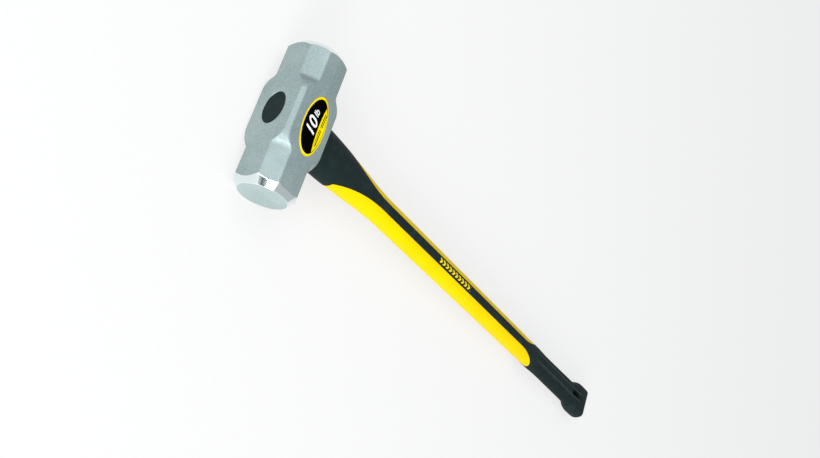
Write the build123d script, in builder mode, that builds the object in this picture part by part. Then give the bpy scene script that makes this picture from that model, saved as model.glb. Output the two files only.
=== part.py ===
"""Long-handled double-faced sledgehammer, lying on one cheek.

The handle runs along +X from the crown of the head to the butt, the two striking faces look
along -Y and +Y, and the cheek that carries the label looks up along +Z. The origin is on the
ground, under the middle of the bounding box.
"""
from build123d import *

import os
from math import cos, hypot, radians, sin, sqrt

os.makedirs("parts", exist_ok=True)

# ---- driving dimensions, millimetres ---------------------------------------------------------

overall_length = 905.0      # crown of the head to the end of the butt

# head: a forged bar with heavy corner bevels at its ends and thin ones round the eye
head_length = 179.0         # striking face to striking face
head_depth = 66.0           # crown to underside, along the handle
head_width = 62.0           # cheek to cheek, measured at the edges of the cheeks
cheek_rise = 2.5            # each cheek rises to a forging ridge along its middle
end_bevel = 15.5            # leg of the corner bevel at both ends
eye_block_bevel = 4.5       # leg of the corner bevel round the eye
eye_block_length = 50.0     # length that keeps the thin bevel
bevel_runout = 20.0         # length over which one bevel grows into the other
shoulder_share = 0.7        # part of the runout that is the rounded shoulder, the rest is the scoop
face_radius = 28.0          # ground striking face
turned_length = 9.6         # ground chamfer, from the face to where it leaves the corners
face_edge_round = 1.5

# eye: an oval hole that narrows from the crown towards the handle
eye_length = 40.0           # along the head, at the crown
eye_width = 28.0            # across the head, at the crown
eye_taper = 3.0             # how much smaller the hole is at the underside
bond_recess = 0.8           # the bond's top lies this far below the crown
bond_cap = 4.2              # bond poured over the end of the handle

# core rod and jacket
rod_length_y = 26.0
rod_width_z = 17.0
rod_end = 822.0             # where the rod stops, measured from the crown
tang_length_y = 33.0
tang_width_z = 22.0
core_length_y = 32.0        # jacket under the rubber
core_width_z = 26.0
jacket_end_wall = 6.0       # jacket closing the end of the rod

# outside of the handle, half sizes along the head (y) and across it (z)
shaft_half_y = 19.0
shaft_half_z = 16.0
guard_root_half_y = 28.5
guard_root_half_z = 23.0
guard_end = 226.0           # the guard has shrunk to the shaft here
grip_start = 690.0          # the shaft's plain oval ends here
waist_half_y = 18.0
waist_half_z = 15.6
palm_half_y = 19.4
palm_half_z = 15.6
knob_half_y = 27.0
knob_half_z = 20.5          # of the knob's oval, before its flats are cut
knob_flat_half_z = palm_half_z      # the knob's flats run on from the palm without a step
knob_length = 30.0          # full-size part of the knob, up to the end of the butt
knob_flare = 26.0           # length over which the grip swells into the knob
knob_end_round = 8.0        # of the knob's end, seen from above
knob_nose_round = 13.0      # of the knob's end, seen from the side

# side strips, let into the jacket on both flat sides of the handle
strip_half_width = 6.0
strip_start = 179.0
strip_end = 648.0
strip_proud = 0.4           # the strip stands this far out of the shaft

# outline of the jacket's two long windows between the rubber parts
window_front_tangent = 220.0    # the front arc leaves the strip's edge here
window_front_radius = 290.0
window_back_tangent = 627.0     # the back arc leaves the strip's edge here
window_back_radius = 132.0
window_nose = 118.5             # the windows are cut off square here

# details of the grip
panel_start = 690.0
panel_point = 6.0           # depth of the panel's pointed front end
panel_end = 846.0
panel_half_width = 4.8
panel_floor = 14.8          # the panels' flat floors, from the handle's middle plane
hang_slot_start = 838.0
hang_slot_length = 32.0
hang_slot_width = 9.0
groove_offset = 10.6        # middle of the long groove, from the middle of the grip
groove_width = 1.6
groove_start = 700.0
groove_end = 846.0
groove_floor = 12.2         # the grooves' flat floors, from the handle's middle plane

# label on the upper cheek
label_length = 71.0         # along the head
label_width = 37.0
label_thickness = 0.3
label_offset = 0.8          # from the ridge of the cheek, towards the handle
label_shift = -3.2          # from the middle of the head, along it

# ---- reference planes and derived sizes ------------------------------------------------------

rest_height = head_width / 2 + cheek_rise       # handle axis above the ground
crown = Vector(-overall_length / 2, 0, rest_height)
head_centre = crown + Vector(head_depth / 2, 0, 0)
tang_start = bond_recess + bond_cap
jacket_end = rod_end + jacket_end_wall

# sections of the handle: local x is +Y, local y is +Z, stacked along +X from the crown
section = Plane(origin=crown, x_dir=(0, 1, 0), z_dir=(1, 0, 0))
# plan of the handle: local x runs from the crown to the butt, local y is +Y
plan = Plane(origin=crown, x_dir=(1, 0, 0), z_dir=(0, 0, 1))
# cross-section of the head: local x runs from the crown to the underside, local y is +Z
across = Plane(origin=crown, x_dir=(1, 0, 0), z_dir=(0, -1, 0))
# plane through the head's long axis, for what is turned about it
turning = Plane(origin=head_centre, x_dir=(1, 0, 0), z_dir=(0, 0, 1))
head_axis = Axis(head_centre, (0, 1, 0))


def oval_form(stations, inset=0.0):
    """A closed body through ovals given as (distance from the crown, half y, half z)."""
    with BuildPart() as form:
        for distance, half_y, half_z in stations:
            with BuildSketch(section.offset(distance)):
                Ellipse(half_y - inset, half_z - inset)
        loft()
    return form.part


def oval_bar(start, end, length_y, width_z):
    """A straight oval bar between two distances from the crown."""
    with BuildPart() as bar:
        with BuildSketch(section.offset(start)):
            Ellipse(length_y / 2, width_z / 2)
        extrude(amount=end - start)
    return bar.part


# ---- head ------------------------------------------------------------------------------------


def bevel_cutter(outward_x, outward_z):
    """What the forging leaves off one long corner of the head.

    outward_x is -1 at the crown and +1 at the underside, outward_z is -1 or +1 for the cheek.
    """
    corner_x = 0.0 if outward_x < 0 else head_depth
    corner = crown + Vector(corner_x, 0, outward_z * head_width / 2)
    plane = Plane(origin=corner, x_dir=(0, 1, 0), z_dir=(outward_z, 0, -outward_x))
    shallow = -eye_block_bevel / sqrt(2)
    deep = -end_bevel / sqrt(2)
    near = eye_block_length / 2
    far = near + bevel_runout
    middle = (
        near + shoulder_share * bevel_runout,
        shallow + shoulder_share * (deep - shallow),
    )
    beyond = head_length / 2 + 10
    above = 12.0
    with BuildPart() as cutter:
        with BuildSketch(plane):
            with BuildLine():
                top = Line((0, above), (0, shallow))
                flat = Line(top @ 1, (near, shallow))
                shoulder = TangentArc(flat @ 1, middle, tangent=(1, 0))
                scoop = TangentArc(shoulder @ 1, (far, deep), tangent=shoulder % 1)
                Polyline(scoop @ 1, (beyond, deep), (beyond, above), top @ 0)
            make_face()
            mirror(about=Plane.YZ)
        extrude(amount=head_width, both=True)
    return cutter.part


bevel_cutters = [bevel_cutter(x, z) for x in (-1, 1) for z in (-1, 1)]

# the ground chamfer is a cone that just clears the bevelled corners at turned_length
corner_radius = hypot(head_depth / 2, head_width / 2 - end_bevel)
cone_slope = turned_length / (corner_radius - face_radius)
clear_radius = hypot(head_depth / 2, head_width / 2) + 2
clear_length = (clear_radius - face_radius) * cone_slope

with BuildPart() as eye_space:
    with BuildSketch(section):
        Ellipse(eye_length / 2, eye_width / 2)
    with BuildSketch(section.offset(head_depth)):
        Ellipse((eye_length - eye_taper) / 2, (eye_width - eye_taper) / 2)
    loft()

with BuildPart() as head:
    with BuildSketch(across):
        with BuildLine():
            cheek = Polyline(
                (0, 0),
                (0, head_width / 2),
                (head_depth / 2, head_width / 2 + cheek_rise),
                (head_depth, head_width / 2),
                (head_depth, 0),
            )
            mirror(cheek, about=Plane.XZ)
        make_face()
    extrude(amount=head_length / 2, both=True)
    add(bevel_cutters, mode=Mode.SUBTRACT)
    with BuildSketch(turning):
        with BuildLine():
            Polyline(
                (0, -head_length / 2),
                (face_radius, -head_length / 2),
                (clear_radius, clear_length - head_length / 2),
                (clear_radius, head_length / 2 - clear_length),
                (face_radius, head_length / 2),
                (0, head_length / 2),
                close=True,
            )
        turned = make_face()
        face_corners = turned.vertices().filter_by(lambda v: 1 < abs((v - head_centre).X) < clear_radius - 1)
        fillet(face_corners, face_edge_round)
    revolve(axis=head_axis, mode=Mode.INTERSECT)
    add(eye_space.part, mode=Mode.SUBTRACT)
head.part.label = "head"

# ---- core rod, the glass-fibre bar that carries the load -------------------------------------

with BuildPart() as core_rod:
    add(oval_bar(tang_start, rod_end, rod_length_y, rod_width_z))
core_rod.part.label = "core_rod"

# ---- outside form of the handle, shared by jacket, guard, strips and grip ---------------------

guard_span = guard_end - head_depth
guard_stations = [
    (head_depth, guard_root_half_y, guard_root_half_z),
    (head_depth + 0.25 * guard_span, guard_root_half_y - 1.2, guard_root_half_z - 1.6),
    (head_depth + 0.55 * guard_span, shaft_half_y + 4.8, shaft_half_z + 3.2),
    (head_depth + 0.82 * guard_span, shaft_half_y + 1.2, shaft_half_z + 0.8),
    (guard_end, shaft_half_y, shaft_half_z),
]
knob_start = overall_length - knob_length
flare_start = knob_start - knob_flare
grip_span = flare_start - grip_start
grip_stations = [
    (grip_start, shaft_half_y, shaft_half_z),
    (grip_start + 0.25 * grip_span, waist_half_y, waist_half_z),
    (grip_start + 0.6 * grip_span, waist_half_y + 0.5, waist_half_z),
    (flare_start, palm_half_y, palm_half_z),
]
flare_stations = [
    (flare_start, palm_half_y, palm_half_z),
    (flare_start + 0.4 * knob_flare, palm_half_y + 2.8, palm_half_z + 1.4),
    (flare_start + 0.75 * knob_flare, knob_half_y - 1.2, knob_half_z - 0.6),
    (knob_start, knob_half_y, knob_half_z),
]
# the end of the knob narrows in plan: each station is an angle round the rounding's quarter circle
end_stations = [
    (
        overall_length - knob_end_round * (1 - sin(radians(angle))),
        knob_half_y - knob_end_round * (1 - cos(radians(angle))),
        knob_half_z,
    )
    for angle in (0, 25, 50, 70, 90)
]
guard_form = oval_form(guard_stations)
shaft_form = oval_bar(guard_end, grip_start, 2 * shaft_half_y, 2 * shaft_half_z)
grip_form = oval_form(grip_stations)
flare_form = oval_form(flare_stations)
tang_form = oval_bar(tang_start, head_depth, tang_length_y, tang_width_z)
core_form = oval_bar(head_depth, jacket_end, core_length_y, core_width_z)

with BuildPart() as butt:
    add(flare_form)
    with BuildSketch(section.offset(knob_start)):
        Ellipse(knob_half_y, knob_half_z)
    extrude(amount=knob_length - knob_end_round)
    add(oval_form(end_stations))
    with BuildSketch(across) as profile:
        with Locations((overall_length - (knob_length + knob_flare) / 2, 0)):
            Rectangle(knob_length + knob_flare, 2 * knob_flat_half_z)
        fillet(profile.vertices().sort_by(Axis.X)[-2:], knob_nose_round)
    extrude(amount=2 * knob_half_y, both=True, mode=Mode.INTERSECT)
butt_form = butt.part

# ---- jacket, the coloured plastic moulded round the rod ---------------------------------------


def arc_reach(radius, rise):
    """How far along the handle an arc of this radius runs while it leaves the strip by rise."""
    return sqrt(2 * radius * rise - rise * rise)


window_edge = knob_half_y + 6
window_back = window_back_tangent + arc_reach(window_back_radius, window_edge - strip_half_width)
nose_run = window_front_tangent - window_nose
nose_edge = strip_half_width + window_front_radius - sqrt(window_front_radius**2 - nose_run**2)

with BuildPart() as windows:
    with BuildSketch(plan):
        with BuildLine():
            edge = Line((window_front_tangent, strip_half_width), (window_back_tangent, strip_half_width))
            TangentArc(edge @ 1, (window_back, window_edge), tangent=(1, 0))
            Polyline((window_back, window_edge), (window_nose, window_edge), (window_nose, nose_edge))
            TangentArc(edge @ 0, (window_nose, nose_edge), tangent=(-1, 0))
        make_face()
        mirror(about=Plane.XZ)
    extrude(amount=guard_root_half_z + 5, both=True)

with BuildPart() as window_faces:
    add([guard_form, shaft_form, grip_form])
    add(windows.part, mode=Mode.INTERSECT)

with BuildPart() as handle_jacket:
    add([tang_form, core_form, window_faces.part])
    add(core_rod.part, mode=Mode.SUBTRACT)
handle_jacket.part.label = "handle_jacket"

# ---- side strips, rubber bars with round ends on the two flat sides ---------------------------


def strip(side):
    """One strip; side is +1 for the labelled side of the hammer and -1 for the other."""
    length = strip_end - strip_start
    middle = (strip_start + strip_end) / 2
    with BuildPart() as bar:
        add(oval_bar(strip_start, strip_end, 2 * (shaft_half_y + strip_proud), 2 * (shaft_half_z + strip_proud)))
        add(oval_form(guard_stations, inset=-strip_proud))
        with BuildSketch(plan):
            with Locations((middle, 0)):
                SlotOverall(length, 2 * strip_half_width)
        extrude(amount=side * 2 * shaft_half_z, mode=Mode.INTERSECT)
        add(core_form, mode=Mode.SUBTRACT)
    return bar.part


side_strips = {}
for name, side in (("side_strip_top", 1), ("side_strip_bottom", -1)):
    side_strips[name] = strip(side)
    side_strips[name].label = name

# ---- overstrike guard, thick rubber behind the head -------------------------------------------

with BuildPart() as overstrike_guard:
    add(guard_form)
    add([core_form, windows.part], mode=Mode.SUBTRACT)
    add(list(side_strips.values()), mode=Mode.SUBTRACT)
overstrike_guard.part.label = "overstrike_guard"

# ---- grip, with panels, grooves and a hanging slot --------------------------------------------


with BuildPart() as panel_cut:
    with BuildSketch(plan):
        with BuildLine():
            Polyline(
                (panel_start, 0),
                (panel_start + panel_point, panel_half_width),
                (panel_end, panel_half_width),
                (panel_end, -panel_half_width),
                (panel_start + panel_point, -panel_half_width),
                close=True,
            )
        make_face()
    extrude(amount=2 * knob_half_z, both=True)
    with BuildSketch(plan):
        with Locations(((panel_start + panel_end) / 2, 0)):
            Rectangle(panel_end - panel_start + 2 * panel_point, 4 * panel_half_width)
    extrude(amount=panel_floor, both=True, mode=Mode.SUBTRACT)

with BuildPart() as groove_cut:
    with BuildSketch(plan):
        for side in (-1, 1):
            with Locations(((groove_start + groove_end) / 2, side * groove_offset)):
                SlotOverall(groove_end - groove_start, groove_width)
    extrude(amount=2 * knob_half_z, both=True)
    with BuildSketch(plan):
        with Locations(((groove_start + groove_end) / 2, 0)):
            Rectangle(groove_end - groove_start, 4 * groove_offset)
    extrude(amount=groove_floor, both=True, mode=Mode.SUBTRACT)

with BuildPart() as grip:
    add([shaft_form, grip_form, butt_form])
    with BuildSketch(section.offset(guard_end)):
        Rectangle(3 * knob_half_y, 3 * knob_half_z)
    extrude(amount=window_back_tangent - guard_end, mode=Mode.SUBTRACT)
    add(core_form, mode=Mode.SUBTRACT)
    add(windows.part, mode=Mode.SUBTRACT)
    add(list(side_strips.values()), mode=Mode.SUBTRACT)
    with BuildSketch(plan):
        with Locations((hang_slot_start + hang_slot_length / 2, 0)):
            SlotOverall(hang_slot_length, hang_slot_width)
    extrude(amount=2 * knob_half_z, both=True, mode=Mode.SUBTRACT)
    for relief in (panel_cut, groove_cut):
        add(relief.part, mode=Mode.SUBTRACT)
grip.part.label = "grip"

# ---- eye bond, the hard resin that holds the handle in the head --------------------------------

with BuildPart() as eye_bond:
    add(eye_space.part)
    add([tang_form, core_rod.part], mode=Mode.SUBTRACT)
    with BuildSketch(section):
        Ellipse(eye_length, eye_width)
    extrude(amount=bond_recess, mode=Mode.SUBTRACT)
eye_bond.part.label = "eye_bond"

# ---- label, a thin oval sticker bent over the ridge of the upper cheek -------------------------

with BuildPart() as cheek_label:
    with BuildSketch(across):
        with BuildLine():
            under = Polyline(
                (0, head_width / 2),
                (head_depth / 2, head_width / 2 + cheek_rise),
                (head_depth, head_width / 2),
            )
            over = Polyline(
                (0, head_width / 2 + label_thickness),
                (head_depth / 2, head_width / 2 + cheek_rise + label_thickness),
                (head_depth, head_width / 2 + label_thickness),
            )
            Line(under @ 0, over @ 0)
            Line(under @ 1, over @ 1)
        make_face()
    extrude(amount=label_length, both=True)
    with BuildSketch(plan):
        with Locations((head_depth / 2 + label_offset, label_shift)):
            Ellipse(label_width / 2, label_length / 2)
    extrude(amount=head_width, mode=Mode.INTERSECT)
cheek_label.part.label = "cheek_label"

# ---- hand-out ---------------------------------------------------------------------------------

export_step(head.part, "parts/head.step")
export_step(core_rod.part, "parts/core_rod.step")
export_step(handle_jacket.part, "parts/handle_jacket.step")
export_step(overstrike_guard.part, "parts/overstrike_guard.step")
for name, piece in side_strips.items():
    export_step(piece, f"parts/{name}.step")
export_step(grip.part, "parts/grip.step")
export_step(eye_bond.part, "parts/eye_bond.step")
export_step(cheek_label.part, "parts/cheek_label.step")
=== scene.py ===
import math

import bmesh
import bpy
import numpy as np
from mathutils import Matrix, Vector


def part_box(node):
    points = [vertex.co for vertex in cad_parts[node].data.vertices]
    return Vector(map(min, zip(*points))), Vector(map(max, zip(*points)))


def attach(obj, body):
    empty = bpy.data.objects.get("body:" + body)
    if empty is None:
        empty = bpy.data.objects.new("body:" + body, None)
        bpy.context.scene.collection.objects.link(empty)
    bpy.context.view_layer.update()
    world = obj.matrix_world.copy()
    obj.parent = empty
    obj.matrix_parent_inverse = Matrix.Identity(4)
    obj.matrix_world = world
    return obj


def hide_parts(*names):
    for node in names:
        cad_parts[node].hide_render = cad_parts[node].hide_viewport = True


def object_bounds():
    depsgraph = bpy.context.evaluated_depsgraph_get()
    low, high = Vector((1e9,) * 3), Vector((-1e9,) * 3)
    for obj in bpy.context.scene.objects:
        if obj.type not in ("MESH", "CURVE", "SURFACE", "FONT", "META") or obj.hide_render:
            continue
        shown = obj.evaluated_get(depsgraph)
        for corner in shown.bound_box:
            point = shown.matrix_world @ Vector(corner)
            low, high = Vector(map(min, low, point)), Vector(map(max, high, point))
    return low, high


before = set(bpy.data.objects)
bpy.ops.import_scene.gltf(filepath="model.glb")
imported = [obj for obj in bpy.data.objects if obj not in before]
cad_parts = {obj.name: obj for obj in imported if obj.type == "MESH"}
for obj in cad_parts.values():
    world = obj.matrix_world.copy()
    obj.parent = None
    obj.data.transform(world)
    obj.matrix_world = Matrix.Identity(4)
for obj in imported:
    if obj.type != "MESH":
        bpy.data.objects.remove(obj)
cad_low, cad_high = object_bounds()
mm = 0.001

# ---- head ---------------------------------------------------------------------------------------
# A double-faced head, drop forged in steel: heavy corner bevels at both ends run out into a thick
# block round the eye, and each cheek rises to a ridge.  It is blasted and painted grey, and only
# the two striking faces and the chamfers behind them are ground bright.

head_low, head_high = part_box("head")
crown_x = head_low.x
axis_z = (head_low.z + head_high.z) / 2
face_y = head_high.y
half_depth = (head_high.x - head_low.x) / 2
cheek_rise = 2.5 * mm
half_width = head_high.z - axis_z - cheek_rise
head_x = crown_x + half_depth

thin_bevel = 4.5 * mm
wide_bevel = 15.5 * mm
eye_block_half = 25 * mm
bevel_runout = 20 * mm
shoulder_share = 0.7
forged_edge = 1.1 * mm
ridge_edge = 0.12 * mm

face_radius = 28 * mm
face_edge_round = 1.5 * mm
chamfer_length = 9.6 * mm
chamfer_slope = chamfer_length / (math.hypot(half_depth, half_width - wide_bevel) - face_radius)
chamfer_tilt = math.atan(chamfer_slope)

eye_half_y = 20 * mm
eye_half_z = 14 * mm
eye_narrowing = 1.5 * mm
eye_rim = 0.6 * mm

points_per_flat = 15


def soft_least(a, b, softness):
    """The lesser of two distances, with the crease between them rounded over."""
    overlap = np.clip(softness - np.abs(a - b), 0, None) / softness
    return np.minimum(a, b) - overlap * overlap * softness / 4


def bevel_leg(y):
    """Leg of the corner bevels at a place along the head: a rounded shoulder, then a tight scoop."""
    drop = (wide_bevel - thin_bevel) / math.sqrt(2)
    reach = np.clip(np.abs(y) - eye_block_half, 0, bevel_runout)
    run_a = shoulder_share * bevel_runout
    drop_a = shoulder_share * drop
    radius_a = (run_a**2 + drop_a**2) / (2 * drop_a)
    run_b = bevel_runout - run_a
    drop_b = drop - drop_a
    radius_b = (run_b**2 + drop_b**2) / (2 * drop_b)
    shoulder = radius_a - np.sqrt(radius_a**2 - np.minimum(reach, run_a) ** 2)
    left = np.minimum(bevel_runout - reach, run_b)
    scoop = drop - (radius_b - np.sqrt(radius_b**2 - left**2))
    return thin_bevel + math.sqrt(2) * np.where(reach < run_a, shoulder, scoop)


def head_turns(leg):
    """Directions round the head, measured from the crown, with one on every edge of the section."""
    slope = cheek_rise / half_depth
    edge_z = (half_width + slope * (leg - half_width)) / (1 - slope)
    edge_x = half_depth + half_width - leg - edge_z
    stops = [0, math.atan2(half_width - leg, half_depth), math.atan2(edge_z, edge_x), math.pi / 2]
    eased = (1 - np.cos(np.pi * np.arange(points_per_flat) / points_per_flat)) / 2
    quarter = np.concatenate([a + (b - a) * eased for a, b in zip(stops, stops[1:])] + [[math.pi / 2]])
    there, back = quarter[:-1], quarter[:0:-1]
    return np.concatenate([there, math.pi - back, math.pi + there, 2 * math.pi - back])


def head_radius(turn, leg):
    """How far the forged skin of the head lies from its long axis."""
    across = np.maximum(np.abs(np.cos(turn)), 1e-6)
    up = np.maximum(np.abs(np.sin(turn)), 1e-6)
    slope = cheek_rise / half_depth
    crown_flat = half_depth / across
    bevel = (half_depth + half_width - leg) / (across + up)
    cheek = (half_width + cheek_rise) / (up + slope * across)
    other_cheek = (half_width + cheek_rise) / np.maximum(up - slope * across, 1e-6)
    cheek = soft_least(cheek, other_cheek, ridge_edge)
    return soft_least(soft_least(crown_flat, bevel, forged_edge), cheek, forged_edge)


def head_ring(y, limit):
    """One ring of points round the head, kept inside the turned radius of its end."""
    leg = float(bevel_leg(y))
    turn = head_turns(leg)
    radius = np.minimum(head_radius(turn, leg), limit)
    x = head_x - radius * np.cos(turn)
    return np.stack([x, np.full_like(x, y), axis_z + radius * np.sin(turn)], 1)


def skin(name, rings):
    """A closed mesh over rings of points, with a fan over the first ring and over the last."""
    rings = np.array(rings)
    count, around = rings.shape[:2]
    points = rings.reshape(-1, 3).tolist() + [rings[0].mean(0).tolist(), rings[-1].mean(0).tolist()]
    faces = []
    for i in range(count - 1):
        for j in range(around):
            k = (j + 1) % around
            faces.append((i * around + j, i * around + k, (i + 1) * around + k, (i + 1) * around + j))
    first, last = count * around, count * around + 1
    for j in range(around):
        k = (j + 1) % around
        faces.append((first, k, j))
        faces.append((last, (count - 1) * around + j, (count - 1) * around + k))
    return closed_piece(name, points, faces)


def closed_piece(name, points, faces):
    """A mesh object at the origin whose faces all point outwards."""
    mesh = bpy.data.meshes.new(name)
    mesh.from_pydata(points, [], faces)
    mesh.update()
    mesh.calc_loop_triangles()
    corners = np.empty(len(mesh.loop_triangles) * 3, np.int32)
    mesh.loop_triangles.foreach_get("vertices", corners)
    place = np.array(points)[corners].reshape(-1, 3, 3)
    if np.einsum("ij,ij->i", place[:, 0], np.cross(place[:, 1], place[:, 2])).sum() < 0:
        mesh.flip_normals()
    piece = bpy.data.objects.new(name, mesh)
    bpy.context.scene.collection.objects.link(piece)
    return piece


def settle(piece):
    """Turns a piece's modifiers into a plain mesh."""
    bpy.context.view_layer.update()
    worked = piece.evaluated_get(bpy.context.evaluated_depsgraph_get())
    mesh = bpy.data.meshes.new_from_object(worked)
    old = piece.data
    piece.modifiers.clear()
    piece.data = mesh
    bpy.data.meshes.remove(old)
    return piece


def carve(piece, tool, operation="DIFFERENCE", keep_tool=False):
    """Cuts a closed tool out of a closed piece, or joins the two, or keeps what they share."""
    cut = piece.modifiers.new("carve", "BOOLEAN")
    cut.operation = operation
    cut.solver = "MANIFOLD"
    cut.object = tool
    settle(piece)
    if not keep_tool:
        bpy.data.objects.remove(tool)
    return piece


def hand_over(piece, material, nodes=(), crease=32):
    """Gives a finished piece its material and its shading, hangs it on the root body, and hides the CAD nodes
    it stands in for.
    """
    mesh = piece.data
    mesh.materials.clear()
    mesh.materials.append(material)
    mesh.polygons.foreach_set("material_index", np.zeros(len(mesh.polygons), np.int32))
    mesh.polygons.foreach_set("use_smooth", np.ones(len(mesh.polygons), bool))
    mesh.set_sharp_from_angle(angle=math.radians(crease))
    mesh.update()
    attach(piece, "root")
    if nodes:
        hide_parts(*nodes)
    return piece


class Wire:
    """A socket that takes part in sums, so that a pattern can be written as an expression."""

    def __init__(self, finish, socket):
        self.finish = finish
        self.socket = socket

    def sum(self, operation, *others):
        values = dict(enumerate((self, *others)))
        return self.finish.node("ShaderNodeMath", values, operation=operation)

    def __add__(self, other):
        return self.sum("ADD", other)

    __radd__ = __add__

    def __sub__(self, other):
        return self.sum("SUBTRACT", other)

    def __rsub__(self, other):
        return self.sum("MULTIPLY_ADD", -1.0, other)

    def __mul__(self, other):
        return self.sum("MULTIPLY", other)

    __rmul__ = __mul__

    def __truediv__(self, other):
        return self.sum("DIVIDE", other)

    def __abs__(self):
        return self.sum("ABSOLUTE")


class Finish:
    """The material of one piece of the hammer, built node by node."""

    def __init__(self, name):
        self.material = bpy.data.materials.new(name)
        self.material.use_nodes = True
        self.tree = self.material.node_tree
        self.tree.nodes.clear()
        self.place = self.node("ShaderNodeTexCoord", output="Object")
        parts = self.node("ShaderNodeSeparateXYZ", {0: self.place}).socket.node
        self.x, self.y, self.z = (Wire(self, parts.outputs[i]) for i in range(3))

    def node(self, kind, values=None, output=0, stops=None, **settings):
        """Adds a node: its settings first, then the values or links of its sockets."""
        made = self.tree.nodes.new(kind)
        for name, setting in settings.items():
            setattr(made, name, setting)
        for at, grey in stops or ():
            stop = made.color_ramp.elements.new(at)
            stop.color = (grey, grey, grey, 1)
        if stops:
            made.color_ramp.elements.remove(made.color_ramp.elements[0])
            made.color_ramp.elements.remove(made.color_ramp.elements[-1])
        for key, value in (values or {}).items():
            socket = made.inputs[key]
            if isinstance(value, Wire):
                self.tree.links.new(value.socket, socket)
            else:
                socket.default_value = value
        return Wire(self, made.outputs[output])

    def grain(self, size, detail=2.0, roughness=0.5):
        """Even noise whose features are about this size."""
        values = {"Vector": self.place, "Scale": 1 / size, "Detail": detail, "Roughness": roughness}
        return self.node("ShaderNodeTexNoise", values)

    def edge(self, value, start, end):
        """0 up to start, 1 from end on, and a soft step between them."""
        values = {"Value": value, "From Min": start, "From Max": end}
        return self.node("ShaderNodeMapRange", values, interpolation_type="SMOOTHSTEP")

    def blend(self, mask, low, high):
        """One colour where the mask is 0 and the other where it is 1."""
        return self.node("ShaderNodeMix", {0: mask, 6: low, 7: high}, output=2, data_type="RGBA")

    def bump(self, height, distance, strength=1.0):
        values = {"Height": height, "Distance": distance, "Strength": strength}
        return self.node("ShaderNodeBump", values)

    def surface(self, **sockets):
        """Closes the material with one shader; a socket's spaces are written as underscores."""
        values = {name.replace("_", " "): value for name, value in sockets.items()}
        shader = self.node("ShaderNodeBsdfPrincipled", values)
        self.node_out = self.tree.nodes.new("ShaderNodeOutputMaterial")
        self.tree.links.new(shader.socket, self.node_out.inputs["Surface"])
        return self.material


rings = []
for scale in (0.12, 0.35, 0.6, 0.85):
    rings.append(head_ring(face_y, scale * face_radius))
rim_start = face_radius - face_edge_round * math.tan(chamfer_tilt / 2)
for tilt in np.linspace(0, chamfer_tilt, 6):
    back = face_edge_round * (1 - math.cos(tilt))
    rings.append(head_ring(face_y - back, rim_start + face_edge_round * math.sin(tilt)))
for back in np.arange(0.9, 10.6, 0.36) * mm:
    rings.append(head_ring(face_y - back, face_radius + back / chamfer_slope))
for back in np.arange(11.2, 24, 0.8) * mm:
    rings.append(head_ring(face_y - back, face_radius + back / chamfer_slope))
wide_end = eye_block_half + bevel_runout
for y in np.linspace(face_y - 24 * mm, wide_end + 1 * mm, 14):
    rings.append(head_ring(y, 1))
for y in np.linspace(wide_end, eye_block_half, 34):
    rings.append(head_ring(y, 1))
for y in np.linspace(eye_block_half - 1 * mm, 1 * mm, 12):
    rings.append(head_ring(y, 1))
other_end = [ring * [1, -1, 1] for ring in reversed(rings)]
head = skin("forged_head", rings + other_end)


def oval(x, half_y, half_z, around=96):
    """A ring of points round the handle's axis."""
    turn = 2 * np.pi * np.arange(around) / around
    y = half_y * np.cos(turn)
    z = half_z * np.sin(turn)
    return np.stack([np.full(around, x), y, axis_z + z], 1)


eye_stations = [
    (crown_x - 1 * mm, eye_rim + 1 * mm),
    (crown_x, eye_rim),
    (crown_x + 0.25 * mm, 0.3 * eye_rim),
    (crown_x + eye_rim, 0),
    (head_high.x + 1 * mm, -eye_narrowing),
]
eye_hole = skin("eye_hole", [oval(x, eye_half_y + grow, eye_half_z + grow) for x, grow in eye_stations])
carve(head, eye_hole)

paint = Finish("grey_forging_paint")
long_axis = (paint.x - head_x) * (paint.x - head_x) + (paint.z - axis_z) * (paint.z - axis_z)
from_axis = long_axis.sum("SQRT")
from_face = face_y - abs(paint.y)
turned_skin = from_axis - (face_radius + from_face / chamfer_slope)
ground = paint.edge(turned_skin, -0.25 * mm, -0.1 * mm)
on_face = paint.edge(from_face, 0.35 * mm, 0.1 * mm)
speck = paint.grain(1.1 * mm, 3.0, 0.75)
mottle = paint.grain(3.2 * mm, 3.0, 0.55)
cloud = paint.grain(38 * mm, 2.0)
rings_turned = paint.grain(9 * mm, 3.0)
paint_tone = paint.blend(speck.sum("MULTIPLY_ADD", 1.7, -0.35), (0.1, 0.15, 0.152, 1), (0.42, 0.53, 0.53, 1))
paint_tone = paint.blend(paint.edge(mottle, 0.35, 0.7) * 0.35, paint_tone, (0.23, 0.275, 0.27, 1))
paint_tone = paint.blend(paint.edge(cloud, 0.4, 0.65) * 0.3, paint_tone, (0.38, 0.45, 0.44, 1))
steel_tone = paint.blend(on_face, (0.76, 0.84, 0.84, 1), (0.9, 1.0, 1.0, 1))
steel_tone = paint.blend(paint.edge(rings_turned, 0.4, 0.7) * 0.25, steel_tone, (0.7, 0.78, 0.78, 1))
turning_marks = (from_axis * (1 / (0.32 * mm)) + rings_turned * 2.0).sum("SINE")
roughness = paint.node("ShaderNodeMix", {
    0: ground,
    2: 0.38 + speck * 0.16,
    3: 0.07 + on_face * 0.3 + rings_turned * 0.04,
})
relief = speck * 0.05 * mm * (1 - ground) + turning_marks * 0.0003 * mm * ground
paint_material = paint.surface(
    Base_Color=paint.blend(ground, paint_tone, steel_tone),
    Metallic=0.45 + ground * 0.55 - on_face * 0.75,
    Roughness=roughness,
    Normal=paint.bump(relief, 1.0, 0.7),
)
hand_over(head, paint_material, ["head"])

# ---- core rod -----------------------------------------------------------------------------------
# A pultruded glass-fibre bar runs from the eye to near the butt and carries the load.  It stays
# the CAD node, because the jacket hides all of it.

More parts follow.
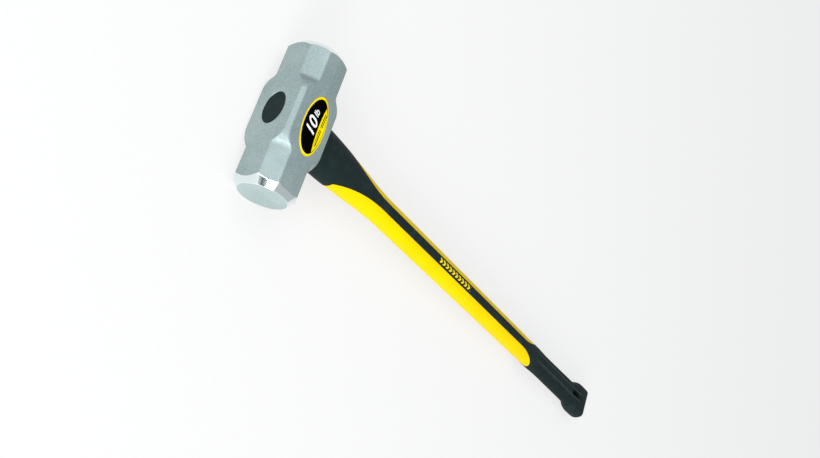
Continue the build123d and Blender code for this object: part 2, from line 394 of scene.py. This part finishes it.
glass = Finish("glass_fibre")
strands = glass.node("ShaderNodeMapping", {"Vector": glass.place, "Scale": (25, 900, 900)})
strand = glass.node("ShaderNodeTexNoise", {"Vector": strands, "Scale": 1.0, "Detail": 3.0})
glass_material = glass.surface(
    Base_Color=glass.blend(strand, (0.55, 0.5, 0.32, 1), (0.8, 0.77, 0.6, 1)),
    Roughness=0.35 + strand * 0.25,
    Normal=glass.bump(strand, 0.05 * mm),
)
core_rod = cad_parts["core_rod"]
core_rod.data.materials.clear()
core_rod.data.materials.append(glass_material)

# ---- handle jacket ------------------------------------------------------------------------------
# Bright yellow plastic is moulded round the rod.  It shows on both sides of the shaft through two
# long windows between the rubber parts, and runs on under the rubber as a plain core.

jacket_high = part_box("handle_jacket")[1]
butt_x = cad_high.x
core_half_y = 16 * mm
core_half_z = 13 * mm
tang_half_y = 16.5 * mm
tang_half_z = 11 * mm
tang_start = 5 * mm
tang_end = 66.5 * mm
rod_half_y = 13 * mm
rod_half_z = 8.5 * mm
jacket_below = 0.3 * mm
knob_flat = 15.6 * mm
knob_flat_edge = 2.0 * mm
knob_end_round = 8 * mm
knob_nose_round = 13 * mm
flat_start = 815 * mm
flat_runout = 40 * mm

# the handle's outside: distance from the crown, half size along the head, half size across it
handle_form = np.array([
    (66, 28.5, 23.0),
    (104, 27.4, 21.6),
    (154, 23.9, 19.3),
    (197, 20.3, 16.9),
    (226, 19.0, 16.0),
    (300, 19.0, 16.0),
    (620, 19.0, 16.0),
    (690, 19.0, 16.0),
    (730, 18.0, 15.6),
    (785, 18.5, 15.6),
    (849, 19.4, 15.6),
    (859, 22.0, 17.0),
    (868, 25.6, 19.8),
    (876, 27.0, 20.5),
    (896, 27.0, 20.5),
]) * mm


def flowing(x, column):
    """The handle's half size at a distance from the crown, on a curve that doesn't overshoot."""
    at, size = handle_form[:, 0], handle_form[:, column]
    slope = np.diff(size) / np.diff(at)
    product = slope[1:] * slope[:-1]
    lean = np.where(product > 0, 2 * product / (slope[1:] + slope[:-1] + 1e-12), 0)
    lean = np.concatenate([[slope[0]], lean, [0]])
    i = int(np.clip(np.searchsorted(at, x) - 1, 0, len(at) - 2))
    span = at[i + 1] - at[i]
    t = (x - at[i]) / span
    h = [2 * t**3 - 3 * t**2 + 1, t**3 - 2 * t**2 + t, 3 * t**2 - 2 * t**3, t**3 - t**2]
    return h[0] * size[i] + h[1] * span * lean[i] + h[2] * size[i + 1] + h[3] * span * lean[i + 1]


def rounded_off(past_corner, radius):
    """How far a rounded corner falls away, this far past the start of its quarter circle."""
    past = min(max(past_corner, 0), radius)
    return radius - math.sqrt(radius**2 - past**2)


def handle_ring(distance, grow=0.0):
    """A ring of the handle's outside, with the flats of the knob and its rounded end."""
    straight = min(distance, handle_form[-1, 0])
    to_end = butt_x - crown_x - distance
    half_y = flowing(straight, 1) - rounded_off(knob_end_round - to_end, knob_end_round)
    ring = oval(crown_x + distance, half_y + grow, flowing(straight, 2) + grow)
    up = ring[:, 2] - axis_z
    limit = knob_flat + grow - rounded_off(knob_nose_round - to_end, knob_nose_round)
    flat = soft_least(np.abs(up), np.full(len(up), limit), knob_flat_edge)
    share = np.clip((distance - flat_start) / flat_runout, 0, 1)
    ring[:, 2] = axis_z + np.sign(up) * (np.abs(up) * (1 - share) + flat * share)
    return ring


def handle_body(name, start, end, grow=0.0, step=2.5 * mm):
    """The handle's outside between two distances from the crown, as a closed body."""
    count = max(2, int(round((end - start) / step)) + 1)
    return skin(name, [handle_ring(x, grow) for x in np.linspace(start, end, count)])


def oval_body(name, start, end, half_y, half_z):
    """A straight oval bar between two distances from the crown."""
    return skin(name, [oval(crown_x + x, half_y, half_z, 72) for x in (start, end)])


def prism(name, outline, low=-45 * mm, high=45 * mm):
    """A closed upright body over an outline of (distance from the crown, y)."""
    count = len(outline)
    points = [(crown_x + x, y, axis_z + z) for z in (low, high) for x, y in outline]
    faces = [tuple(range(count)), tuple(range(2 * count - 1, count - 1, -1))]
    for i in range(count):
        j = (i + 1) % count
        faces.append((i, i + count, j + count, j))
    return closed_piece(name, points, faces)


strip_half = 6.0 * mm
window_front = 220 * mm
window_front_radius = 290 * mm
window_back = 627 * mm
window_back_radius = 132 * mm
window_top = 33 * mm
window_nose = 118.5 * mm


def window(side, grow=0.0):
    """One long window in plan: straight beside the strip, and swept out by an arc at each end."""
    edge_y = strip_half - grow
    outline = []
    for start, radius, way in ((window_front, window_front_radius, -1), (window_back, window_back_radius, 1)):
        radius = radius - grow
        last = math.acos(1 - (window_top - edge_y) / radius)
        if way < 0:
            last = math.asin((window_front - window_nose + grow) / radius)
        arc = [
            (start + way * radius * math.sin(t), side * (edge_y + radius * (1 - math.cos(t))))
            for t in np.linspace(0, last, 40)
        ]
        outline += arc[::-1] if way < 0 else arc
    outline.append((window_nose - grow, side * window_top))
    return prism("window", outline)


jacket = handle_body("yellow_jacket", 70 * mm, 720 * mm, -jacket_below)
windows = carve(window(1), window(-1), "UNION")
carve(jacket, windows, "INTERSECT")
carve(jacket, oval_body("core", half_depth * 2, jacket_high.x - crown_x, core_half_y, core_half_z), "UNION")
carve(jacket, oval_body("tang", tang_start, tang_end, tang_half_y, tang_half_z), "UNION")
rod_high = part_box("core_rod")[1]
carve(jacket, oval_body("rod_space", 4 * mm, rod_high.x - crown_x, rod_half_y, rod_half_z))

plastic = Finish("yellow_plastic")
peel = plastic.grain(1.6 * mm, 2.0)
swirl = plastic.grain(60 * mm, 2.0)
scuff = plastic.grain(9 * mm, 4.0, 0.65)
yellow = plastic.blend(plastic.edge(swirl, 0.35, 0.7) * 0.5, (0.80, 0.57, 0.0, 1), (0.75, 0.51, 0.0, 1))
yellow = plastic.blend(plastic.edge(scuff, 0.62, 0.78) * 0.3, yellow, (0.68, 0.46, 0.004, 1))
plastic_material = plastic.surface(
    Base_Color=yellow,
    Roughness=0.32 + scuff * 0.2,
    Normal=plastic.bump(peel, 0.06 * mm, 0.5),
    Specular_IOR_Level=0.03,
)
hand_over(jacket, plastic_material, ["handle_jacket"])

# ---- overstrike guard and side strips -----------------------------------------------------------
# Thick black rubber is moulded over the handle behind the head, where a missed blow lands.  Two
# rubber strips with round ends run from it along both flat sides, let into the plastic.

guard_end = 226 * mm
joint_gap = 0.2 * mm
strip_proud = 0.4 * mm
strip_start = 179 * mm
strip_end = 648 * mm
print_start = 353 * mm
print_end = 443 * mm
print_pitch = 9 * mm


def slot_outline(start, end, half, steps=14):
    """A long slot with round ends, in plan."""
    turn = np.linspace(-math.pi / 2, math.pi / 2, steps)
    far = [(end - half + half * math.cos(t), half * math.sin(t)) for t in turn]
    near = [(start + half - half * math.cos(t), -half * math.sin(t)) for t in turn]
    return far + near


guard = handle_body("strike_guard", half_depth * 2, guard_end)
carve(guard, oval_body("core", 60 * mm, 240 * mm, core_half_y, core_half_z))
carve(guard, carve(window(1, joint_gap), window(-1, joint_gap), "UNION"))
carve(guard, prism("strip_bed", slot_outline(strip_start - joint_gap, strip_end, strip_half + joint_gap)))


def rubber_finish(name):
    """Black rubber with a faint blue cast: fine leathery grain, dull patches and a few rubbed spots."""
    rubber = Finish(name)
    fine = rubber.grain(0.5 * mm, 3.0, 0.6)
    patch = rubber.grain(14 * mm, 3.0, 0.6)
    tone = rubber.blend(fine, (0.005, 0.011, 0.011, 1), (0.012, 0.023, 0.023, 1))
    tone = rubber.blend(rubber.edge(patch, 0.45, 0.75) * 0.5, tone, (0.02, 0.034, 0.033, 1))
    rubber.fine, rubber.patch, rubber.tone = fine, patch, tone
    return rubber


def close_rubber(rubber, tone, roughness=0.5):
    return rubber.surface(
        Base_Color=tone,
        Roughness=roughness + rubber.fine * 0.2,
        Normal=rubber.bump(rubber.fine, 0.08 * mm, 0.6),
        Specular_IOR_Level=0.08,
    )


guard_rubber = rubber_finish("guard_rubber")
guard_material = close_rubber(guard_rubber, guard_rubber.tone)
hand_over(guard, guard_material, ["overstrike_guard"])

strip_rubber = rubber_finish("strip_rubber")
along = strip_rubber.x - crown_x
chevron = (along / print_pitch + abs(strip_rubber.y) * (0.42 / (3.4 * mm))).sum("FRACT")
printed = strip_rubber.edge(chevron, 0.44, 0.5)
printed = printed * strip_rubber.edge(abs(strip_rubber.y), 3.5 * mm, 3.3 * mm)
printed = printed * strip_rubber.edge(along, print_start - 0.1 * mm, print_start + 0.1 * mm)
printed = printed * strip_rubber.edge(along, print_end + 0.1 * mm, print_end - 0.1 * mm)
printed = printed * strip_rubber.edge(strip_rubber.z, axis_z, axis_z + 1 * mm)
strip_tone = strip_rubber.blend(printed * 0.95, strip_rubber.tone, (0.85, 0.66, 0.01, 1))
strip_material = close_rubber(strip_rubber, strip_tone)

for name, side in (("side_strip_top", 1), ("side_strip_bottom", -1)):
    bar = handle_body("rubber_" + name, strip_start - 8 * mm, strip_end + 6 * mm, strip_proud)
    low, high = (0, 45 * mm) if side > 0 else (-45 * mm, 0)
    carve(bar, prism("outline", slot_outline(strip_start, strip_end, strip_half), low, high), "INTERSECT")
    carve(bar, oval_body("core", strip_start - 20 * mm, strip_end + 20 * mm, core_half_y, core_half_z))
    hand_over(bar, strip_material, [name])

# ---- grip ---------------------------------------------------------------------------------------
# Black rubber moulded over the butt end: a waist and a palm swell, a rimmed panel on both flat
# sides, a long groove and a row of ribs beside it, and a flat-sided knob with a hanging slot.

rib_pitch = 7.3 * mm
rib_gap = 2.9 * mm
rib_depth = 0.9 * mm
rib_start = 692 * mm
rib_end = 856 * mm
rib_inner = 12.4 * mm
panel_start = 690 * mm
panel_end = 876 * mm
panel_point = 6 * mm
panel_half = 5.0 * mm
panel_rim = 1.0 * mm
rim_rise = 0.45 * mm
panel_depth = 0.6 * mm
groove_y = 10.6 * mm
groove_half = 0.9 * mm
groove_depth = 0.9 * mm
groove_start = 700 * mm
groove_end = 852 * mm
slot_start = 838 * mm
slot_end = 870 * mm
slot_half = 4.5 * mm


def panel_outline(grow):
    """The panel in plan: a blunt point towards the head, and a round end round the slot."""
    half = panel_half + grow
    near = panel_start - grow
    turn = np.linspace(-math.pi / 2, math.pi / 2, 12)
    end = [(panel_end + grow - half + half * math.cos(t), half * math.sin(t)) for t in turn]
    tip = 0.35 * half
    return end + [(near + panel_point, half), (near, tip), (near, -tip), (near + panel_point, -half)]


def rib_gap_tree():
    """Geometry nodes that repeat one box along the grip, for the gaps between its ribs."""
    tree = bpy.data.node_groups.new("rib_gaps", "GeometryNodeTree")
    sizes = {}
    for name, kind in (("Count", "NodeSocketInt"), ("Pitch", "NodeSocketFloat"), ("Gap", "NodeSocketFloat"),
                       ("Reach", "NodeSocketFloat"), ("Height", "NodeSocketFloat"),
                       ("Start", "NodeSocketVector"), ("Material", "NodeSocketMaterial")):
        sizes[name] = tree.interface.new_socket(name, in_out="INPUT", socket_type=kind).identifier
    tree.interface.new_socket("Geometry", in_out="OUTPUT", socket_type="NodeSocketGeometry")

    def add(kind, links=None, **settings):
        made = tree.nodes.new(kind)
        for name, setting in settings.items():
            setattr(made, name, setting)
        for name, socket in (links or {}).items():
            tree.links.new(socket, made.inputs[name])
        return made

    given = add("NodeGroupInput").outputs
    step = add("ShaderNodeCombineXYZ", {"X": given["Pitch"]})
    size = add("ShaderNodeCombineXYZ", {"X": given["Gap"], "Y": given["Reach"], "Z": given["Height"]})
    row = add("GeometryNodeMeshLine", {
        "Count": given["Count"], "Start Location": given["Start"], "Offset": step.outputs[0],
    })
    box = add("GeometryNodeMeshCube", {"Size": size.outputs[0]})
    boxes = add("GeometryNodeInstanceOnPoints", {"Points": row.outputs[0], "Instance": box.outputs["Mesh"]})
    real = add("GeometryNodeRealizeInstances", {"Geometry": boxes.outputs[0]})
    dressed = add("GeometryNodeSetMaterial", {"Geometry": real.outputs[0], "Material": given["Material"]})
    add("NodeGroupOutput", {"Geometry": dressed.outputs[0]})
    return tree, sizes


grip_rubber = rubber_finish("grip_rubber")
rib_tree, rib_sizes = rib_gap_tree()


def rib_gaps(side, material):
    """The gaps between the ribs on one side of the grip, as deep as the ribs are high."""
    reach = 30 * mm
    gaps = bpy.data.objects.new("rib_gaps", bpy.data.meshes.new("rib_gaps"))
    bpy.context.scene.collection.objects.link(gaps)
    made = gaps.modifiers.new("rib_gaps", "NODES")
    made.node_group = rib_tree
    for name, value in (
        ("Count", int((rib_end - rib_start) / rib_pitch) + 1),
        ("Pitch", rib_pitch),
        ("Gap", rib_gap),
        ("Reach", reach),
        ("Height", 60 * mm),
        ("Start", (crown_x + rib_start, side * (rib_inner + reach / 2), axis_z)),
        ("Material", material),
    ):
        made[rib_sizes[name]] = value
    settle(gaps)
    return carve(gaps, handle_body("rib_floor", 660 * mm, 875 * mm, -rib_depth))


def relief_tool(name, outline, depth, start=660 * mm, end=890 * mm):
    """What is cut out of the grip's skin inside an outline, down to an even depth."""
    return carve(prism(name, outline), handle_body("floor", start, end, -depth))


grip_stations = np.concatenate([
    np.arange(624, 842, 2.5) * mm,
    np.arange(842, 890, 1.5) * mm,
    butt_x - crown_x - knob_nose_round * (1 - np.sin(np.linspace(0, 0.47 * math.pi, 16))),
    [butt_x - crown_x],
])
grip = skin("rubber_grip", [handle_ring(x) for x in grip_stations])
carve(grip, oval_body("core", 600 * mm, jacket_high.x - crown_x, core_half_y, core_half_z))
carve(grip, carve(window(1, joint_gap), window(-1, joint_gap), "UNION"))
carve(grip, prism("strip_bed", slot_outline(strip_start, strip_end + joint_gap, strip_half + joint_gap)))

grip_tone = grip_rubber.tone
# Painted highlight: the raised rim round each panel gets a lighter rubber tone, which stands in for the light
# its edge catches.
rim_line = abs(abs(grip_rubber.y) - (panel_half + panel_rim / 2))
rim_highlight_mask = grip_rubber.edge(rim_line, 0.9 * mm, 0.4 * mm)
on_rim = grip_rubber.x - crown_x
rim_highlight_mask = rim_highlight_mask * grip_rubber.edge(on_rim, panel_start - 1 * mm, panel_start + 4 * mm)
rim_highlight_mask = rim_highlight_mask * grip_rubber.edge(on_rim, panel_end, panel_end - 6 * mm)
grip_tone = grip_rubber.blend(rim_highlight_mask * 0.6, grip_tone, (0.06, 0.085, 0.08, 1))
grip_material = close_rubber(grip_rubber, grip_tone)

rim_band = prism("rim_band", panel_outline(panel_rim))
carve(rim_band, handle_body("rim_skin", 670 * mm, 890 * mm, rim_rise), "INTERSECT")
carve(grip, rim_band, "UNION")
carve(grip, relief_tool("panel", panel_outline(0), panel_depth))
for side in (-1, 1):
    groove = [(x, y + side * groove_y) for x, y in slot_outline(groove_start, groove_end, groove_half)]
    carve(grip, relief_tool("groove", groove, groove_depth))
    carve(grip, rib_gaps(side, grip_material))
carve(grip, prism("hang_slot", slot_outline(slot_start, slot_end, slot_half)))
hand_over(grip, grip_material, ["grip"])

# ---- eye bond -----------------------------------------------------------------------------------
# Hard black resin fills the eye round the tang and covers the end of the handle; it sits just
# below the crown, with a slight dish and a few pits where it shrank.

bond_recess = 0.8 * mm
bond_dish = 0.5 * mm
bond_rings = []
for share in (0.05, 0.3, 0.55, 0.75, 0.9, 0.97, 1.0):
    x = crown_x + bond_recess + bond_dish * (1 - share**4)
    bond_rings.append(oval(x, share * (eye_half_y - 0.02 * mm), share * (eye_half_z - 0.02 * mm)))
for x in np.linspace(crown_x + bond_recess + 0.5 * mm, head_high.x, 8):
    narrow = eye_narrowing * (x - crown_x) / (2 * half_depth)
    bond_rings.append(oval(x, eye_half_y - narrow, eye_half_z - narrow))
bond = skin("resin_bond", bond_rings)
carve(bond, oval_body("tang_space", tang_start, 70 * mm, tang_half_y, tang_half_z))

resin = Finish("black_resin")
ripple = resin.grain(5 * mm, 3.0)
pits = resin.grain(1.6 * mm, 2.0, 0.7)
resin_material = resin.surface(
    Base_Color=resin.blend(ripple, (0.008, 0.015, 0.015, 1), (0.018, 0.03, 0.03, 1)),
    Roughness=0.38 + pits * 0.25,
    Specular_IOR_Level=0.04,
    Normal=resin.bump(ripple * 0.6 + resin.edge(pits, 0.62, 0.72) * -0.4, 0.4 * mm, 0.6),
)
hand_over(bond, resin_material, ["eye_bond"])

# ---- cheek label --------------------------------------------------------------------------------
# A thin oval film sticker, bent over the ridge of the upper cheek: a yellow border and crescent on
# black, a plain weight numeral in white, and a row of slanted bars in place of words.

label_x = head_x + 0.8 * mm
label_y = -3.2 * mm
label_half_x = 18.5 * mm
label_half_y = 35.5 * mm
label_thick = 0.3 * mm
ink_thick = 0.08 * mm
numeral_height = 14 * mm
numeral_middle = (29.0 * mm, -6.2 * mm)
unit_height = 7.5 * mm
unit_middle = (29.5 * mm, 10.6 * mm)


def cheek_height(x):
    """Height of the upper cheek's skin at a place across the head."""
    return head_high.z - np.abs(x - head_x) * cheek_rise / half_depth


def sticker_rings(under, over):
    """Oval rings over the top of a bent film and back under it."""
    turn = 2 * np.pi * np.arange(120) / 120
    made = []
    for lift, shares in ((over, (0.06, 0.2, 0.4, 0.6, 0.8, 0.985)), (under, (1.0, 0.8, 0.6, 0.4, 0.2, 0.06))):
        for share in shares:
            x = label_x + share * label_half_x * np.cos(turn)
            y = label_y + share * label_half_y * np.sin(turn)
            made.append(np.stack([x, y, cheek_height(x) + lift], 1))
    return made


label = skin("cheek_sticker", sticker_rings(0, label_thick - ink_thick))

film = Finish("label_film")
across = (film.x - label_x) / label_half_x
along = (film.y - label_y) / label_half_y
oval_share = (across * across + along * along).sum("SQRT")
border = film.edge(oval_share, 0.905, 0.915)
from_crown = film.x - crown_x
bow = (film.y - 0.5 * mm) * (film.y - 0.5 * mm) * 3.6
crescent = film.edge(from_crown - bow, 39.4 * mm, 39.6 * mm)
words_y = film.y + 1.5 * mm
words_line = from_crown - 44.0 * mm - bow * 0.55
bars = film.edge(((words_y + words_line * 0.45) / (3.1 * mm)).sum("FRACT"), 0.42, 0.47)
bars = bars * film.edge(abs(words_line), 2.0 * mm, 1.85 * mm) * film.edge(abs(words_y), 19.6 * mm, 19.4 * mm)
bars = bars * film.edge(abs(words_y - 1.2 * mm), 1.4 * mm, 1.6 * mm)
ink_noise = film.grain(1.1 * mm, 2.0)
black = film.blend(ink_noise, (0.0008, 0.0008, 0.0008, 1), (0.002, 0.002, 0.002, 1))
gold = film.blend(ink_noise, (0.88, 0.7, 0.003, 1), (0.82, 0.64, 0.003, 1))
film_tone = film.blend(crescent, black, film.blend(bars, gold, black))
film_tone = film.blend(film.edge(oval_share, 0.875, 0.885), film_tone, black)
film_tone = film.blend(border, film_tone, gold)
film_tone = film.blend(film.edge(oval_share, 0.975, 0.985), film_tone, (0.5, 0.39, 0.02, 1))
film_material = film.surface(
    Base_Color=film_tone,
    Roughness=0.5 + ink_noise * 0.15,
    Specular_IOR_Level=0.0,
    Normal=film.bump(ink_noise, 0.02 * mm, 0.5),
)
hand_over(label, film_material, ["cheek_label"])


def numeral(name, text, height, middle, bold):
    """Printed figures that read along the head, as a thin layer of ink bent over the cheek."""
    words = bpy.data.curves.new(name, "FONT")
    words.body = text
    words.size = height / 0.7
    words.align_x = "CENTER"
    words.offset = bold
    words.shear = 0.25
    words.extrude = 10 * mm
    words.resolution_u = 6
    drawn = bpy.data.objects.new(name, words)
    bpy.context.scene.collection.objects.link(drawn)
    bpy.context.view_layer.update()
    mesh = bpy.data.meshes.new_from_object(drawn.evaluated_get(bpy.context.evaluated_depsgraph_get()))
    bpy.data.objects.remove(drawn)
    for point in mesh.vertices:
        right, up, out = point.co
        point.co = (crown_x + middle[0] - (up - height / 2), middle[1] + right, head_high.z + out)
    sewn = bmesh.new()
    sewn.from_mesh(mesh)
    bmesh.ops.remove_doubles(sewn, verts=sewn.verts, dist=0.001 * mm)
    bmesh.ops.recalc_face_normals(sewn, faces=sewn.faces)
    sewn.to_mesh(mesh)
    sewn.free()
    figure = bpy.data.objects.new(name, mesh)
    bpy.context.scene.collection.objects.link(figure)
    layer = skin("ink_layer", sticker_rings(label_thick - ink_thick + 0.01 * mm, label_thick))
    return carve(figure, layer, "INTERSECT")


ink = Finish("white_ink")
ink_grain = ink.grain(0.8 * mm, 2.0)
ink_material = ink.surface(
    Base_Color=ink.blend(ink_grain, (0.92, 0.93, 0.93, 1), (0.82, 0.84, 0.84, 1)),
    Roughness=0.35 + ink_grain * 0.15,
)
figures = numeral("weight_numeral", "10", numeral_height, numeral_middle, 0.35 * mm)
hand_over(figures, ink_material)
unit = numeral("weight_unit", "lb", unit_height, unit_middle, 0.1 * mm)
hand_over(unit, ink_material)

# ---- floor, light and camera --------------------------------------------------------------------
# A pale paper floor.  The hammer lies on the cheek's ridge and on the knob, so the floor leans by
# the small angle between the two.

rest_lean = math.atan2(axis_z - knob_flat, butt_x - 20 * mm - head_x)
floor_mesh = bpy.data.meshes.new("floor")
reach = 7.0
corners = ((-reach, -reach), (reach, -reach), (reach, reach), (-reach, reach))
floor_mesh.from_pydata(
    [(head_x + x, y, x * math.tan(rest_lean)) for x, y in corners],
    [],
    [(0, 1, 2, 3)],
)
floor = bpy.data.objects.new("floor", floor_mesh)
bpy.context.scene.collection.objects.link(floor)
paper = Finish("floor_paper")
paper_grain = paper.grain(4 * mm, 2.0)
floor_mesh.materials.append(paper.surface(
    Base_Color=paper.blend(paper_grain, (0.19, 0.19, 0.189, 1), (0.21, 0.21, 0.209, 1)),
    Roughness=0.9,
    Specular_IOR_Level=0.0,
    Emission_Color=(1, 1, 1, 1),
    Emission_Strength=0.71,
))


def softbox(name, place, target, width, height, power):
    """A soft studio light that the camera doesn't see."""
    light = bpy.data.lights.new(name, "AREA")
    light.shape = "RECTANGLE"
    light.size = width
    light.size_y = height
    light.energy = power
    lamp = bpy.data.objects.new(name, light)
    bpy.context.scene.collection.objects.link(lamp)
    lamp.location = place
    lamp.rotation_euler = (Vector(target) - Vector(place)).to_track_quat("-Z", "Y").to_euler()
    lamp.visible_camera = False
    return lamp


softbox("key", (-3.0, -1.3, 1.4), (-0.3, 0.1, 0.03), 1.4, 1.0, 46)
softbox("top", (-1.66, 0.7, 1.68), (-0.42, 0, 0.05), 1.3, 1.3, 15)
softbox("front_strip", (-1.0, -2.2, 0.95), (-0.42, -0.09, 0.03), 1.2, 1.0, 50)

# A dark grey card stands beside the head.  Only reflections see it, and it darkens one band of the
# ground chamfer.
card_corners = ((-1.25, -0.72), (-1.24, -0.72), (-0.7, -1.1), (-0.71, -1.1))
card_foot = 0.14
card_top = 0.44
card_plan = [(x - crown_x, y) for x, y in card_corners]
card = prism("black_card", card_plan, card_foot - axis_z, card_top - axis_z)
card_black = Finish("card_black")
card.data.materials.append(card_black.surface(
    Base_Color=(0, 0, 0, 1),
    Roughness=1.0,
    Specular_IOR_Level=0.0,
    Emission_Color=(0.9, 1, 1, 1),
    Emission_Strength=0.1,
))
card.visible_camera = False
card.visible_diffuse = False
card.visible_shadow = False

world = bpy.data.worlds.new("studio")
bpy.context.scene.world = world
world.use_nodes = True
sky = world.node_tree.nodes["Background"]
sky.inputs["Color"].default_value = (0.93, 0.96, 1.0, 1)
sky.inputs["Strength"].default_value = 0.6
bpy.context.scene.view_settings.view_transform = "Standard"

camera_place = Vector((-1.0933, -0.4569, 0.7430))
frame_right = Vector((0.47946, 0.29696, 0.82579))
camera_aim = Vector((0.73888, 0.37110, -0.56244))
frame_up = frame_right.cross(camera_aim)
turned = Matrix((frame_right, frame_up, -camera_aim)).transposed().to_4x4()
lens = bpy.data.cameras.new("camera")
lens.sensor_width = 36
lens.lens = 43.69
camera = bpy.data.objects.new("camera", lens)
bpy.context.scene.collection.objects.link(camera)
camera.matrix_world = Matrix.Translation(camera_place) @ turned
bpy.context.scene.camera = camera
